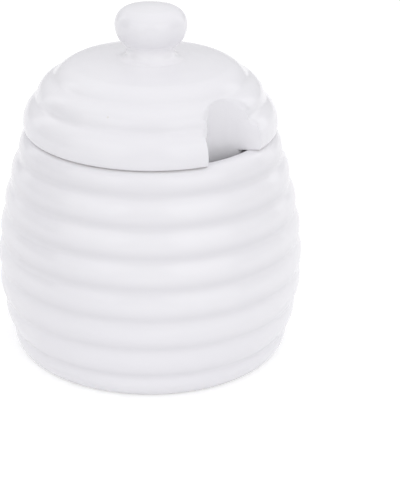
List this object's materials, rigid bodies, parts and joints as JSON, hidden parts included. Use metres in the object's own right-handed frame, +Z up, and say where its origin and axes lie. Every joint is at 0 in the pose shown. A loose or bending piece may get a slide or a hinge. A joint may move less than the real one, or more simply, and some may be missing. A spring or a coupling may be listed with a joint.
{
  "type": "honey pot",
  "caption": "Ringed beehive honey pot of white glazed stoneware, with a knobbed dome lid that has a notch for a spoon.",
  "frame": {"origin": "centre of the foot, on the surface the pot stands on", "axes": "+Z up through the knob, +X towards the notch in the lid's side"},
  "size_m": [0.1018, 0.1018, 0.1161],
  "materials": {
    "white_glaze": "gloss"
  },
  "bodies": {
    "root": {"pot": "white_glaze", "lid": "white_glaze"}
  },
  "joints": []
}
